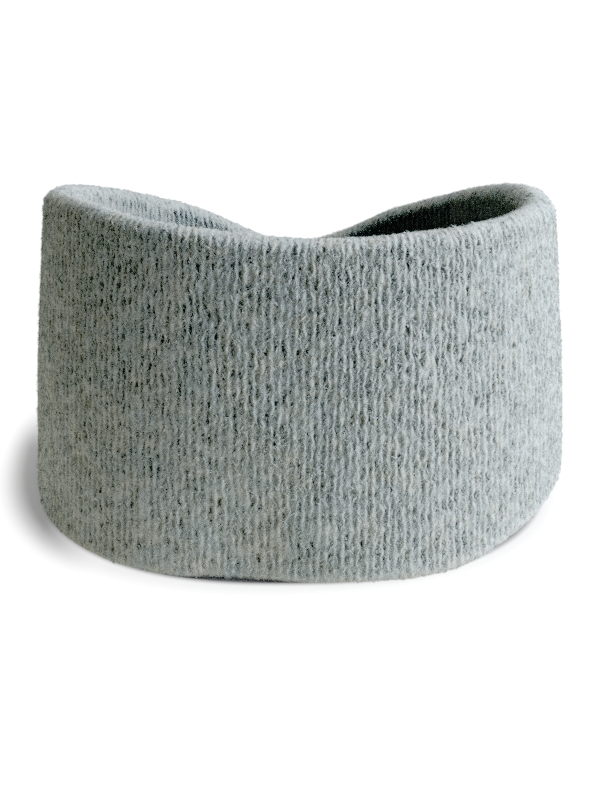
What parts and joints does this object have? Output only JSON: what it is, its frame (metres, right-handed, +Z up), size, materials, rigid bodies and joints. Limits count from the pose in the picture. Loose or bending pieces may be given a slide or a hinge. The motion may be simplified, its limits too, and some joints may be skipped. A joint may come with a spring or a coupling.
{
  "type": "ear warmer headband",
  "caption": "Wide doubled band of felted rib knit, open through for the head, with soft folded edges and a top edge that dips at the nape.",
  "frame": {"origin": "on the surface that the band stands on, under the middle of its outline", "axes": "+Z up along the head's height, +Y towards the low side of the band, -Y towards its tall side, +X across the ears"},
  "size_m": [0.159, 0.1462, 0.097],
  "materials": {
    "felted_knit": "brushed and felted, matt"
  },
  "bodies": {
    "root": {"band": "felted_knit"}
  },
  "joints": []
}
